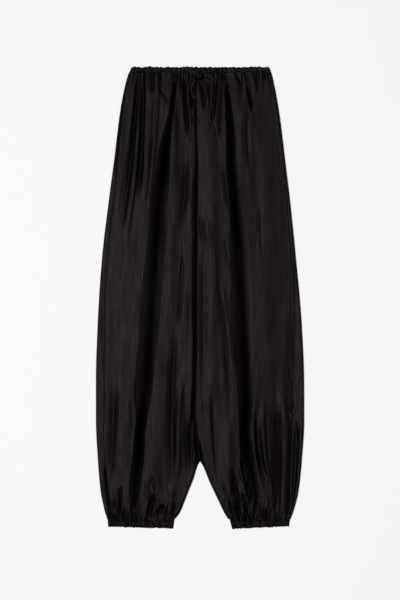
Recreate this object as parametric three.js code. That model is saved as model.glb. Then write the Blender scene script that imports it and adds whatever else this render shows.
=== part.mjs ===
// Drop-crotch balloon trousers in thin black satin, laid flat with the front up.
// Millimetres: X to the viewer's right, Y towards the waist, Z up from the table.
// The origin is on the table, at the middle of the part's box.
// Heights are worked out from tables by the distance down from the waist edge.

import * as THREE from 'three';

// Driving dimensions
const OUTSEAM = 1050;
const LEG_WALL = 1.2;
const CASING_WALL = 2;
const CUFF_WALL = 1.6;
const SEAM_GAP = 0.3;
const LAYER_GAP = 0.35;
const FOLD_EDGE = 7;
const CASING_DEPTH = 19;
const CUFF_TOP = 1027;
const CROTCH = 896;

// Softness of the stuffed look: how far in from an edge the cloth takes to reach its full height,
// and how far a fold reaches to either side for each millimetre of its width
const SIDE_RISE = 38;
const FOLD_FREE = 12;
const FOLD_SHOULDER = 0.65;
const INNER_ROLL = 14;
const CROTCH_BLEND = 55;

// How finely the walls are cut up
const PANEL_ROWS = 36;
const ROW_CROWDING = 0.09;
const ROUND_STEPS = 5;
const STRIP_STEPS = 3;
const UNDERSIDE_STEPS = 2;

// Gathers: how many on each half of the casing and of a cuff, and how far they stand up
const CASING_GATHERS = 36;
const CUFF_GATHERS = 25;
const CASING_WAVE = 0.9;
const CUFF_WAVE = 0.7;
const PANEL_WAVE = 1.5;
const PANEL_WAVE_REACH = 34;
const CASING_HEIGHT = 6;
const CUFF_HEIGHT = 5.6;
const RING_END_ROLL = 10;
const FRILL = 1.5;
const CUFF_FRILL = 0.8;

// Drawstring
const TIE_WIDTH = 4.8;
const TIE_THICKNESS = 2;
const TIE_SIDES = 8;
const ABOVE_ALL = 100;
const KNOT = { x: -2.5, down: 19, width: 16, length: 15, height: 7.5 };

const LEFT = -1;
const RIGHT = 1;

// Turns rows of plain values into rows with named columns.
function table(columns, rows) {
  return rows.map((row) => Object.fromEntries(columns.map((column, i) => [column, row[i]])));
}

// Outer edge of each leg, as a distance from the middle line
const OUTLINE = table(['down', 'left', 'right'], [
  [0, 155, 157],
  [20, 164, 164],
  [75, 177, 175],
  [120, 184, 182],
  [211, 195, 193],
  [302, 207, 204],
  [439, 223, 218],
  [575, 232, 230],
  [711, 236.4, 236],
  [802, 236.4, 236.4],
  [893, 232, 231],
  [961, 226, 224],
  [1007, 217, 213],
  [1027, 211, 206],
  [1050, 207, 201],
]);

// How far the side seam lies in from the outer fold, on the front
const SIDE_SEAM = table(['down', 'left', 'right'], [
  [0, 5, 5],
  [210, 5, 5],
  [275, 10, 6],
  [393, 12, 10],
  [530, 13, 21],
  [620, 16, 23],
  [757, 18, 26],
  [848, 16, 26],
  [939, 15, 22],
  [984, 11, 14],
  [1027, 5, 5],
]);

// Centre front seam above the crotch
const CENTRE_SEAM = table(['down', 'x'], [
  [0, -8],
  [86, -11],
  [211, -7],
  [302, -9],
  [575, -10],
  [711, -12.5],
  [791, -15.5],
  [848, -12],
  [873, -6],
  [CROTCH, 0],
]);

// Inner edge of each leg below the crotch, as a distance from the middle line
const INSEAM = table(['down', 'left', 'right'], [
  [CROTCH, 0, 0],
  [905, 5, 6],
  [939, 16, 20],
  [961, 25, 30],
  [984, 34, 41],
  [1007, 43, 52],
  [1018, 49, 58],
  [1027, 57, 64],
]);

// Height of the stuffed cloth between the folds
const LOFT = table(['down', 'height'], [
  [0, 6.5],
  [20, 6.5],
  [60, 9.5],
  [150, 11.5],
  [400, 12.5],
  [700, 13],
  [880, 12.5],
  [980, 10],
  [1027, 6.5],
]);

// The two deepest folds run from the waist to the cuff.
// x is the bottom of the trough, out and in its reach towards the side and the middle.
const DEEP_LEFT = table(['down', 'x', 'out', 'in', 'depth'], [
  [20, -60, 5, 5, 2.5],
  [52, -58, 7, 7, 5],
  [93, -66, 8, 8, 6],
  [143, -73, 10, 9, 7],
  [189, -81, 15, 11, 8],
  [257, -87, 22, 12, 9.5],
  [325, -88, 27, 14, 9.5],
  [393, -94, 28, 18, 9.5],
  [461, -102, 25, 21, 9.5],
  [552, -109, 26, 21, 9.5],
  [643, -117, 25, 16, 9.5],
  [757, -127, 18, 14, 9.5],
  [848, -137, 15, 12, 9],
  [939, -147, 14, 11, 8],
  [1007, -153, 11, 9, 5],
  [1027, -155, 9, 9, 3],
]);

const DEEP_RIGHT = table(['down', 'x', 'out', 'in', 'depth'], [
  [20, 60, 5, 5, 2.5],
  [52, 64, 6, 6, 5],
  [98, 66, 8, 7, 7],
  [143, 67, 12, 8, 8],
  [189, 70, 14, 9, 9],
  [257, 74, 17, 11, 9.5],
  [302, 78, 18, 16, 9.5],
  [370, 86, 19, 20, 9.5],
  [439, 90, 22, 16, 9.5],
  [507, 92, 24, 19, 9.5],
  [598, 93, 26, 22, 9.5],
  [689, 101, 22, 18, 9.5],
  [780, 102, 16, 13, 9.5],
  [848, 106, 15, 16, 9.5],
  [905, 111, 14, 17, 9],
  [950, 120, 13, 15, 8],
  [995, 125, 12, 12, 5],
  [1027, 127, 9, 9, 3],
]);

// The dip that the centre front seam lies in
const CENTRE_DIP = table(['down', 'out', 'in', 'depth'], [
  [20, 7, 7, 2],
  [90, 7, 7, 3.5],
  [220, 8, 8, 4],
  [280, 13, 11, 6],
  [380, 12, 12, 6],
  [600, 13, 13, 6.5],
  [780, 14, 14, 6.5],
  [860, 20, 20, 7],
  [CROTCH, 22, 18, 7],
  [940, 10, 10, 0],
]);

// The other folds that show from a step away. Each follows a curve through three places,
// at its start, half way and end. A fold that is held keeps its depth at that end.
const FOLD_COLUMNS = ['start', 'end', 'xStart', 'xMiddle', 'xEnd', 'width', 'endWidth', 'rise', 'held'];

const LEFT_FOLDS = table(FOLD_COLUMNS, [
  [20, 348, -144, -155, -181, 11, 15, -5, 'top'],
  [20, 225, -134, -132, -136, 13, 13, -6, 'top'],
  [20, 70, -111, -108, -113, 9, 8, -3, 'top'],
  [20, 450, -97, -110, -134, 12, 14, 2.5, 'top'],
  [48, 257, -120, -120, -125, 20, 20, -2.5, 'none'],
  [20, 173, -36, -29, -27, 9, 8, -4, 'top'],
  [189, 405, -34, -36, -49, 20, 18, -3.5, 'none'],
  [234, 443, -139, -152, -166, 17, 17, -2.5, 'none'],
  [393, 635, -40, -45, -57, 10, 10, -3, 'none'],
  [586, 984, -39, -60, -61, 12, 14, -5, 'none'],
  [666, 945, -30, -50, -46, 14, 14, 2, 'none'],
  [784, 927, -22, -30, -28, 16, 16, -6, 'none'],
  [734, 984, -191, -196, -206, 15, 13, -4, 'none'],
  [905, 1002, -89, -86, -82, 9, 9, -3, 'none'],
  [968, 1027, -100, -110, -118, 10, 10, -4, 'bottom'],
  [980, 1027, -75, -70, -68, 26, 26, 3, 'bottom'],
  [848, 1027, -218, -215, -208, 10, 9, -3.5, 'bottom'],
]);

const RIGHT_FOLDS = table(FOLD_COLUMNS, [
  [20, 143, 36, 29, 24, 9, 8, -4, 'top'],
  [20, 189, 50, 46, 43, 8, 8, -3.5, 'top'],
  [20, 80, 93, 94, 95, 8, 8, -3, 'top'],
  [36, 105, 111, 114, 121, 9, 9, -4, 'none'],
  [93, 245, 111, 109, 115, 11, 11, -3, 'none'],
  [20, 60, 132, 132, 134, 8, 8, -3, 'top'],
  [216, 340, 54, 62, 69, 10, 10, -2.5, 'none'],
  [336, 434, -3, 7, 16, 8, 8, 1.8, 'none'],
  [343, 407, 3, 12, 19, 9, 9, -2.5, 'none'],
  [382, 757, 8, 9, 12, 16, 16, -2.5, 'none'],
  [457, 830, 41, 58, 73, 9, 9, -3, 'none'],
  [475, 757, 46, 67, 80, 11, 11, 1.5, 'none'],
  [723, 961, 29, 34, 41, 11, 10, -4, 'none'],
  [757, 977, 121, 127, 148, 9, 9, 2.5, 'none'],
  [784, 961, 127, 137, 161, 13, 12, -4, 'none'],
  [745, 966, 138, 145, 168, 9, 9, 2.5, 'none'],
  [757, 1027, 154, 168, 176, 22, 11, -7, 'bottom'],
  [689, 995, 154, 181, 180, 10, 10, 2, 'none'],
  [784, 1027, 218, 213, 204, 15, 9, -5, 'bottom'],
  [900, 1027, 75, 82, 93, 13, 9, -5, 'bottom'],
  [882, 980, 86, 95, 108, 10, 10, 2, 'none'],
  [995, 1027, 134, 136, 137, 9, 9, -3.5, 'bottom'],
]);

// Lines that the panels' columns follow, beside the deep folds: out of them and in from them
const COLUMN_LINES_LEFT = table(['down', 'pleat', 'crest', 'inner'], [
  [20, -142, -97, -34],
  [143, -150, -98, -28],
  [302, -172, -117, -36],
  [530, -188, -150, -46],
  [757, -194, -162, -58],
  [939, -204, -178, -62],
  [1027, -206, -181, -84],
]);

const COLUMN_LINES_RIGHT = table(['down', 'pleat', 'crest', 'inner'], [
  [20, 140, 98, 34],
  [143, 142, 112, 30],
  [302, 150, 112, 36],
  [530, 175, 136, 46],
  [757, 186, 146, 62],
  [939, 180, 158, 72],
  [1027, 176, 148, 94],
]);

// Columns between one line and the next, from the side seam to the middle
const COLUMNS_BETWEEN = [3, 4, 3, 3, 3, 4, 4];

// Each leg's own tables
const SIDES = {
  [LEFT]: { deep: DEEP_LEFT, folds: LEFT_FOLDS, lines: COLUMN_LINES_LEFT, name: 'left' },
  [RIGHT]: { deep: DEEP_RIGHT, folds: RIGHT_FOLDS, lines: COLUMN_LINES_RIGHT, name: 'right' },
};

function clamp01(value) {
  return Math.min(1, Math.max(0, value));
}

function ease(value) {
  const t = clamp01(value);
  return t * t * (3 - 2 * t);
}

function mix(a, b, t) {
  return a + (b - a) * t;
}

// A table's column at a distance down, on a smooth curve that never overshoots its rows
function at(rows, column, down) {
  const last = rows.length - 1;
  if (down <= rows[0].down) return rows[0][column];
  if (down >= rows[last].down) return rows[last][column];
  const slope = (i) => (rows[i + 1][column] - rows[i][column]) / (rows[i + 1].down - rows[i].down);
  const tangent = (i) => {
    if (i === 0) return slope(0);
    if (i === last) return slope(last - 1);
    const before = slope(i - 1);
    const after = slope(i);
    return before * after > 0 ? (2 * before * after) / (before + after) : 0;
  };
  const i = rows.findIndex((row) => row.down > down) - 1;
  const span = rows[i + 1].down - rows[i].down;
  const t = (down - rows[i].down) / span;
  const s = 1 - t;
  const startHandle = rows[i][column] + (tangent(i) * span) / 3;
  const endHandle = rows[i + 1][column] - (tangent(i + 1) * span) / 3;
  return s ** 3 * rows[i][column] + 3 * s * s * t * startHandle + 3 * s * t * t * endHandle
    + t ** 3 * rows[i + 1][column];
}

function outerEdge(side, down) {
  return side * at(OUTLINE, SIDES[side].name, down);
}

function sideSeam(side, down) {
  return outerEdge(side, down) - side * at(SIDE_SEAM, SIDES[side].name, down);
}

// Where a panel ends towards the middle: its centre seam, and below the crotch the leg's inner edge
function innerEdge(side, down, centre) {
  const half = side * (SEAM_GAP / 2);
  if (down < CROTCH) return centre + half;
  return side * at(INSEAM, SIDES[side].name, down) + half;
}

function centreSeam(down) {
  return at(CENTRE_SEAM, 'x', down);
}

// A trough or ridge across its width: 1 on its line, 0 at its reach
function across(offset, reach) {
  const s = Math.min(1, Math.abs(offset) / reach);
  return (1 + Math.cos(Math.PI * s ** 0.8)) / 2;
}

function trough(section, side, x) {
  const outward = side * (x - section.x);
  return section.depth * across(outward, outward > 0 ? section.out : section.in);
}

function sectionAt(rows, down) {
  const section = { down };
  Object.keys(rows[0]).filter((column) => column !== 'down').forEach((column) => {
    section[column] = at(rows, column, down);
  });
  return section;
}

function foldHeight(fold, x, down) {
  const t = (down - fold.start) / (fold.end - fold.start);
  if (t < 0 || t > 1) return 0;
  const line = fold.xStart * (2 * t * t - 3 * t + 1) + fold.xMiddle * 4 * t * (1 - t)
    + fold.xEnd * (2 * t * t - t);
  const starts = fold.held === 'top' ? 1 : ease(t / 0.3);
  const ends = fold.held === 'bottom' ? 1 : ease((1 - t) / 0.4);
  return fold.rise * starts * ends * across(x - line, FOLD_SHOULDER * mix(fold.width, fold.endWidth, t));
}

// Height of the front's outer face above the table
function frontHeight(side, x, down) {
  const inside = side * (outerEdge(side, down) - x) - FOLD_EDGE / 2;
  const loft = at(LOFT, 'height', down);
  const body = mix(FOLD_EDGE, loft, ease(inside / SIDE_RISE));
  const deep = trough(sectionAt(SIDES[side].deep, down), side, x);
  const dip = trough({ ...sectionAt(CENTRE_DIP, down), x: centreSeam(down) }, side, x);
  const folds = SIDES[side].folds.map((fold) => foldHeight(fold, x, down));
  const hollows = folds.filter((rise) => rise < 0).map((rise) => -rise);
  const hollow = [deep, dip, ...hollows].reduce((sum, depth) => sum + depth ** 4, 0) ** 0.25;
  const crest = Math.max(0, ...folds);
  const open = body + ease(inside / FOLD_FREE) * (crest - hollow);
  const lowest = 2 * LEG_WALL + LAYER_GAP;
  const legged = ease((down - CROTCH + CROTCH_BLEND) / CROTCH_BLEND);
  const fromInseam = clamp01(side * (x - innerEdge(side, Math.max(down, CROTCH), 0)) / INNER_ROLL);
  const rolled = lowest + (open - lowest) * Math.sqrt(1 - (1 - fromInseam) ** 2);
  return Math.max(lowest, mix(open, rolled, legged));
}

// Distances down of the panels' rows, closer together near the casing and the cuff
function panelRows() {
  const top = CASING_DEPTH + SEAM_GAP;
  const bottom = CUFF_TOP - SEAM_GAP;
  return Array.from({ length: PANEL_ROWS + 1 }, (_, i) => {
    const t = i / PANEL_ROWS;
    return mix(top, bottom, t - ROW_CROWDING * Math.sin(2 * Math.PI * t));
  });
}

function toY(down) {
  return OUTSEAM / 2 - down;
}

// Where a front panel's columns stand at a distance down, from the side seam to the middle
function columnPlaces(side, down) {
  const deep = sectionAt(SIDES[side].deep, down);
  const lines = [
    sideSeam(side, down) - side * (SEAM_GAP / 2),
    at(SIDES[side].lines, 'pleat', down),
    at(SIDES[side].lines, 'crest', down),
    deep.x + side * deep.out,
    deep.x,
    deep.x - side * deep.in,
    at(SIDES[side].lines, 'inner', down),
    innerEdge(side, down, centreSeam(down)),
  ];
  const places = [lines[0]];
  COLUMNS_BETWEEN.forEach((count, k) => {
    for (let n = 1; n <= count; n += 1) places.push(mix(lines[k], lines[k + 1], n / count));
  });
  return places;
}

// Gathers that fade away from the casing and the cuff, a crest and a trough on alternate columns
function gatherWave(down, column, columns) {
  const fromEnd = Math.min(down - CASING_DEPTH, CUFF_TOP - down);
  const edge = Math.min(1, column / 2, (columns - column) / 2);
  return (column % 2 ? 1 : -1) * edge * PANEL_WAVE * (1 - ease(fromEnd / PANEL_WAVE_REACH));
}

// How much thicker a sloping wall is when it is measured straight down
function slant(points, j) {
  const steps = [points[j - 1], points[j + 1]].filter(Boolean);
  const slopes = steps.map((p) => Math.abs(p.z - points[j].z) / Math.abs(p.x - points[j].x));
  return Math.min(1.7, Math.hypot(1, Math.max(...slopes)));
}

// Inner points straight under a row of outer points
function underRow(points, wall) {
  return points.map((p, j) => new THREE.Vector3(p.x, p.y, p.z - wall * slant(points, j)));
}

// Raises points that would press the wall through the layer below
function liftRow(points, wall) {
  points.forEach((p, j) => {
    p.z = Math.max(p.z, wall + LAYER_GAP + wall * slant(points, j));
  });
  return points;
}

// A closed wall between a grid of outer points and a grid of inner points
function wallGeometry(outer, inner) {
  const rows = outer.length;
  const columns = outer[0].length;
  const points = [...outer.flat(), ...inner.flat()];
  const top = (i, j) => i * columns + j;
  const under = (i, j) => rows * columns + top(i, j);
  const faces = [];
  const quad = (a, b, c, d) => faces.push(a, b, c, a, c, d);
  for (let i = 0; i < rows - 1; i += 1) {
    for (let j = 0; j < columns - 1; j += 1) {
      quad(top(i, j), top(i + 1, j), top(i + 1, j + 1), top(i, j + 1));
      quad(under(i, j), under(i, j + 1), under(i + 1, j + 1), under(i + 1, j));
    }
  }
  for (let i = 0; i < rows - 1; i += 1) {
    quad(top(i, 0), under(i, 0), under(i + 1, 0), top(i + 1, 0));
    quad(top(i + 1, columns - 1), under(i + 1, columns - 1), under(i, columns - 1), top(i, columns - 1));
  }
  for (let j = 0; j < columns - 1; j += 1) {
    quad(top(0, j + 1), under(0, j + 1), under(0, j), top(0, j));
    quad(top(rows - 1, j), under(rows - 1, j), under(rows - 1, j + 1), top(rows - 1, j + 1));
  }
  if (signedVolume(points, faces) < 0) faces.reverse();
  const geometry = new THREE.BufferGeometry();
  geometry.setAttribute('position', new THREE.Float32BufferAttribute(points.flatMap((p) => p.toArray()), 3));
  geometry.setIndex(faces);
  geometry.computeVertexNormals();
  return geometry;
}

function signedVolume(points, faces) {
  let volume = 0;
  for (let k = 0; k < faces.length; k += 3) {
    const [a, b, c] = [points[faces[k]], points[faces[k + 1]], points[faces[k + 2]]];
    volume += a.dot(new THREE.Vector3().crossVectors(b, c)) / 6;
  }
  return volume;
}

function satin(roughness) {
  return new THREE.MeshStandardMaterial({ color: 0x1c1918, roughness, metalness: 0 });
}

function part(name, geometry, roughness = 0.45) {
  const mesh = new THREE.Mesh(geometry, satin(roughness));
  mesh.name = name;
  return mesh;
}

function frontPanel(side) {
  const outer = panelRows().map((down) => {
    const places = columnPlaces(side, down);
    const row = places.map((x, j) => {
      const z = frontHeight(side, x, down) + gatherWave(down, j, places.length - 1);
      return new THREE.Vector3(x, toY(down), z);
    });
    return liftRow(row, LEG_WALL);
  });
  const inner = outer.map((row) => underRow(row, LEG_WALL));
  return part(`front_${SIDES[side].name}`, wallGeometry(outer, inner));
}

// The back lies flat on the table, turns up round the outer fold and ends at the side seam.
function backPanel(side) {
  const round = FOLD_EDGE / 2;
  const rowPair = panelRows().map((down) => {
    const edge = outerEdge(side, down);
    const turn = edge - side * round;
    const middle = innerEdge(side, down, 0);
    const seam = sideSeam(side, down) + side * (SEAM_GAP / 2);
    const outer = [];
    const inner = [];
    const put = (list, x, z) => list.push(new THREE.Vector3(x, toY(down), z));
    for (let n = 0; n < UNDERSIDE_STEPS; n += 1) {
      const x = mix(middle, turn, n / UNDERSIDE_STEPS);
      put(outer, x, 0);
      put(inner, x, LEG_WALL);
    }
    for (let n = 0; n <= ROUND_STEPS; n += 1) {
      const angle = Math.PI * (n / ROUND_STEPS - 0.5);
      const bulge = side * Math.cos(angle);
      put(outer, turn + bulge * round, round + round * Math.sin(angle));
      put(inner, turn + bulge * (round - LEG_WALL), round + (round - LEG_WALL) * Math.sin(angle));
    }
    for (let n = 1; n <= STRIP_STEPS; n += 1) {
      const x = mix(turn, seam, n / STRIP_STEPS);
      const z = frontHeight(side, x, down);
      put(outer, x, z);
      put(inner, x, z - LEG_WALL);
    }
    return { outer, inner };
  });
  const geometry = wallGeometry(rowPair.map((row) => row.outer), rowPair.map((row) => row.inner));
  return part(`back_${SIDES[side].name}`, geometry);
}

// Front half of a gathered ring that is pressed flat: crests and troughs on alternate columns
function gatheredFront(name, ring) {
  const columns = ring.gathers * 2;
  const lowest = 2 * ring.wall + LAYER_GAP;
  const outer = ring.rows.map((row) => {
    const points = Array.from({ length: columns + 1 }, (_, j) => {
      const up = j % 2 ? 1 : -1;
      const x = mix(row.from, row.to, j / columns);
      const fromEnd = Math.min(x - row.from, row.to - x) / RING_END_ROLL;
      const roll = Math.sqrt(1 - (1 - clamp01(fromEnd)) ** 2);
      const z = mix(lowest, ring.height + up * ring.wave, roll);
      const down = mix(row.downFrom, row.downTo, j / columns) + (up < 0 ? row.frill : 0);
      return new THREE.Vector3(x, toY(down), z);
    });
    return liftRow(points, ring.wall);
  });
  const inner = outer.map((row) => underRow(row, ring.wall));
  return part(name, wallGeometry(outer, inner), 0.5);
}

// Back half of the same ring: it lies flat, and only its free edge is waved
function gatheredBack(name, ring) {
  const columns = ring.gathers;
  const outer = ring.rows.map((row) => Array.from({ length: columns + 1 }, (_, j) => {
    const down = mix(row.downFrom, row.downTo, j / columns) + (j % 2 ? row.frill : 0);
    return new THREE.Vector3(mix(row.from, row.to, j / columns), toY(down), 0);
  }));
  const inner = outer.map((row) => row.map((p) => new THREE.Vector3(p.x, p.y, ring.wall)));
  return part(name, wallGeometry(outer, inner), 0.5);
}

function waistCasing() {
  const row = (down, frill) => ({
    from: outerEdge(LEFT, down),
    to: outerEdge(RIGHT, down),
    downFrom: down,
    downTo: down,
    frill,
  });
  const rows = [row(0, FRILL), row(CASING_DEPTH / 2, 0), row(CASING_DEPTH, 0)];
  return { wall: CASING_WALL, height: CASING_HEIGHT, wave: CASING_WAVE, gathers: CASING_GATHERS, rows };
}

// Corners of each cuff: outer and inner end at the top, and at the hem
const CUFF_COLUMNS = ['topOuter', 'topInner', 'hemOuter', 'hemInner', 'outerDown', 'innerDown'];
const [LEFT_CUFF, RIGHT_CUFF] = table(CUFF_COLUMNS, [
  [-210, -58, -208.5, -61, 1045, 1049],
  [204.5, 67, 202, 73, 1044, 1050],
]);

function cuff(side) {
  const c = side === LEFT ? LEFT_CUFF : RIGHT_CUFF;
  const row = (t, frill) => {
    const outer = { x: mix(c.topOuter, c.hemOuter, t), down: mix(CUFF_TOP, c.outerDown - frill, t) };
    const inner = { x: mix(c.topInner, c.hemInner, t), down: mix(CUFF_TOP, c.innerDown - frill, t) };
    const [from, to] = side === LEFT ? [outer, inner] : [inner, outer];
    return { from: from.x, to: to.x, downFrom: from.down, downTo: to.down, frill };
  };
  const rows = [row(0, 0), row(0.5, 0), row(1, CUFF_FRILL)];
  return { wall: CUFF_WALL, height: CUFF_HEIGHT, wave: CUFF_WAVE, gathers: CUFF_GATHERS, rows };
}

// Height of the uppermost surface at a place, looking straight down
function heightAt(meshes, x, y) {
  const ray = new THREE.Raycaster(new THREE.Vector3(x, y, ABOVE_ALL), new THREE.Vector3(0, 0, -1));
  const hits = ray.intersectObjects(meshes, false);
  return hits.length ? hits[0].point.z : 0;
}

// Highest cloth under a spot of the drawstring
function clothUnder(cloth, x, y) {
  const reach = TIE_WIDTH * 0.75;
  const spots = [-1, -0.5, 0, 0.5, 1].flatMap((u) => [-1, 0, 1].map((v) => [x + u * reach, y + v * reach]));
  return Math.max(...spots.map(([sx, sy]) => heightAt(cloth, sx, sy)));
}

// Routes of the drawstring's stretches, as places across and down
const TIE_ROUTES = [
  { name: 'tie_lead_left', steps: 5, route: [[-29, 11], [-22, 11], [-13, 12], [-4, 13]] },
  { name: 'tie_lead_right', steps: 5, route: [[23, 11], [16, 11], [8, 12], [0, 13]] },
  {
    name: 'tie_loop_right',
    steps: 22,
    route: [[8.5, 18.5], [15, 18], [23, 20.5], [31, 26.5], [34, 32], [30, 36], [22, 33.5], [15, 29.5],
      [8.5, 26]],
  },
  {
    name: 'tie_loop_left',
    steps: 30,
    route: [[-3, 31], [-4.5, 38], [-5.5, 52], [-7, 65], [-12, 71], [-17, 65], [-19, 52], [-18, 42], [-13, 33],
      [-9.5, 30]],
  },
  {
    name: 'tie_tail_left',
    steps: 30,
    route: [[-13, 24], [-19, 30], [-24.5, 42], [-27, 58], [-27, 80], [-25, 100], [-22.5, 120], [-21.8, 134],
      [-23, 150], [-23, 172]],
  },
  {
    name: 'tie_tail_right',
    steps: 22,
    route: [[3.5, 29], [5.5, 38], [11, 52], [16, 68], [18.5, 85], [22, 100], [22.7, 118], [22.5, 137]],
  },
];

// Flattened tube, level at its start so that its broad side lies on the cloth
function tie({ name, steps, route }, cloth) {
  const rest = (x, down) => clothUnder(cloth, x, toY(down)) + SEAM_GAP + TIE_THICKNESS / 2;
  const points = route.map(([x, down]) => new THREE.Vector3(x, toY(down), rest(x, down)));
  const start = Math.max(points[0].z, points[1].z);
  points[0].z = start;
  points[1].z = start;
  const section = new THREE.Shape();
  for (let n = 0; n < TIE_SIDES; n += 1) {
    const angle = ((n + 0.5) / TIE_SIDES) * 2 * Math.PI;
    const x = (TIE_THICKNESS / 2) * Math.cos(angle);
    const y = (TIE_WIDTH / 2) * Math.sin(angle);
    if (n) section.lineTo(x, y);
    else section.moveTo(x, y);
  }
  section.closePath();
  const path = new THREE.CatmullRomCurve3(points);
  return part(name, new THREE.ExtrudeGeometry(section, { steps, extrudePath: path }), 0.5);
}

// The knot sits on the two leads: it is lowered until some spot of its underside nearly touches.
function knot(carriers) {
  const geometry = new THREE.SphereGeometry(0.5, 14, 8);
  geometry.scale(KNOT.width, KNOT.length, KNOT.height);
  const mesh = part('tie_knot', geometry, 0.5);
  const y = toY(KNOT.down);
  const clear = [];
  for (let u = -1; u <= 1; u += 0.125) {
    for (let v = -1; v <= 1; v += 0.125) {
      const bulge = (KNOT.height / 2) * Math.sqrt(Math.max(0, 1 - u * u - v * v));
      const under = heightAt(carriers, KNOT.x + (u * KNOT.width) / 2, y + (v * KNOT.length) / 2);
      if (bulge > 0) clear.push(under + bulge);
    }
  }
  mesh.position.set(KNOT.x, y, Math.max(...clear) + SEAM_GAP);
  return mesh;
}

function trousers() {
  const panels = [frontPanel(LEFT), frontPanel(RIGHT), backPanel(LEFT), backPanel(RIGHT)];
  const casing = gatheredFront('waist_casing_front', waistCasing());
  const cloth = [panels[0], panels[1], casing];
  const group = new THREE.Group();
  group.add(...panels, casing, gatheredBack('waist_casing_back', waistCasing()));
  [LEFT, RIGHT].forEach((side) => {
    const name = `cuff_${SIDES[side].name}`;
    group.add(gatheredFront(`${name}_front`, cuff(side)), gatheredBack(`${name}_back`, cuff(side)));
  });
  const ties = TIE_ROUTES.map((stretch) => tie(stretch, cloth));
  ties.forEach((mesh) => mesh.updateMatrixWorld(true));
  group.add(...ties, knot([...cloth, ...ties]));
  return group;
}

export default trousers();
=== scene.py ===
"""Drop-crotch balloon trousers in thin black satin, laid flat with the front up.

The cloth is worked out in millimetres, by the distance down from the waist edge and
across from the middle line, and its points are put into the frame in metres.
"""

import math

import bpy
import numpy as np
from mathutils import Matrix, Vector
from mathutils.bvhtree import BVHTree


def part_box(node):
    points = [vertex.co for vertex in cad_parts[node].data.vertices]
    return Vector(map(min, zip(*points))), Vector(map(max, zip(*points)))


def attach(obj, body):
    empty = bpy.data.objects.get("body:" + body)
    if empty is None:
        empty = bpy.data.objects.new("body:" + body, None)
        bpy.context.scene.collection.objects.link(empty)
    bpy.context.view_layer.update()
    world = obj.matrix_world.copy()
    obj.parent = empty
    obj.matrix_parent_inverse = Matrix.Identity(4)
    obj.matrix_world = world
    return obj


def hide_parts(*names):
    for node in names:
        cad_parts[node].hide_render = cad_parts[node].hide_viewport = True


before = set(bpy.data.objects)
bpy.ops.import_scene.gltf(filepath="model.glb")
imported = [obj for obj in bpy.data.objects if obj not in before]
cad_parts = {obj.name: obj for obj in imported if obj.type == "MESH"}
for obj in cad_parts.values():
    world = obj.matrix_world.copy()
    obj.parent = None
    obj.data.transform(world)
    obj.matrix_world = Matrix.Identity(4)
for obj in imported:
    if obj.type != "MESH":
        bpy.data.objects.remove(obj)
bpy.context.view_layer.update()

MM = 0.001

# Sizes of the garment, in millimetres
OUTSEAM = 1050.0
CASING_DEPTH = 19.0
CUFF_TOP = 1027.0
CROTCH = 896.0
SATIN = 0.7
LEG_WALL = 1.2
SEAM_GAP = 0.12
LAYER_GAP = 0.35
TIE_WIDTH = 4.8
TIE_THICKNESS = 1.5

# Distances over which a leg rises, its folds begin and its edges round off, in millimetres
SIDE_RISE = 120.0
FOLD_FREE = 7.0
INNER_ROLL = 6.0
CROTCH_BLEND = 55.0
RING_END_ROLL = 10.0
TOP_FOLD = 1.6

# Forms of ridges, creases and rounded edges
RIDGE_SHARE = 0.62
STEEP_SHARE = 0.6
CREASE_POWER = 3.0
SHOULDER_SHARE = 0.62
SHADED_SHOULDER_SHARE = 0.7
LIT_SHOULDER_SHARE = 0.6
ROLL_SQUARENESS = 0.8
STEEPEST_WALL = 1.7
RISE_POWER = 1.3
MERGE_POWER = 4
ROOM_SHARE = 0.95

# Shares of a fold's length over which it begins and ends
BEGIN_SHARE = 0.3
END_SHARE = 0.4

# How far a deep fold's line wanders, and how uneven its reach is
DEEP_WANDER = 0.8
DEEP_UNEVEN = 0.12

# Gathered bands: free_edge is 0 where the band's top is free and 1 where its bottom is,
# and line is the distance from the seam to the pinched line
BANDS = {
    "casing": dict(
        free_edge=0, gathers=36, cloth=1.0, height=6.0, wave=0.42, frill=2.8, line=7.5,
        columns=10, rows=16,
    ),
    "cuff": dict(
        free_edge=1, gathers=25, cloth=0.9, height=5.6, wave=0.62, frill=1.6, line=5,
        columns=9, rows=16,
    ),
}
BAND_BACK_COLUMNS = 6
BAND_BACK_ROWS = 10

# Least and greatest size of a band's gathers, how far they stray, and how far down a frill reaches
BAND_GATHER_SIZES = (0.3, 1.35)
BAND_GATHER_SHIFT = 0.28
FRILL_REACH = 7

# Least and greatest size of a panel's gathers, and distance over which they fade
GATHER_SIZES = (0.3, 1.5)
GATHER_REACHES = (16, 70)

LEFT = -1
RIGHT = 1
SIDE_NAMES = {LEFT: "left", RIGHT: "right"}


def table(columns, rows):
    """Rows of numbers, as one array for each named column."""
    return {name: np.array(values, float) for name, values in zip(columns, zip(*rows))}


# Distances from the middle line to the outer edges
OUTLINE = table(["down", "left", "right"], [
    [0, 155, 157],
    [20, 164, 164],
    [75, 177, 175],
    [120, 184, 182],
    [211, 195, 193],
    [302, 207, 204],
    [439, 223, 218],
    [575, 232, 230],
    [711, 236.4, 236],
    [802, 236.4, 236.4],
    [893, 232, 231],
    [961, 226, 224],
    [1007, 217, 213],
    [1027, 211, 206],
    [1050, 207, 201],
])

# Distances from the outer edges in to the side seams
SIDE_SEAM = table(["down", "left", "right"], [
    [0, 5, 5],
    [210, 5, 5],
    [275, 10, 6],
    [393, 12, 10],
    [530, 13, 21],
    [620, 16, 23],
    [757, 18, 26],
    [848, 16, 26],
    [939, 15, 22],
    [984, 11, 14],
    [1027, 5, 5],
])

CENTRE_SEAM = table(["down", "x"], [
    [0, -8],
    [86, -11],
    [211, -7],
    [302, -9],
    [575, -10],
    [711, -12.5],
    [791, -15.5],
    [848, -12],
    [873, -6],
    [CROTCH, 0],
])

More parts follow.
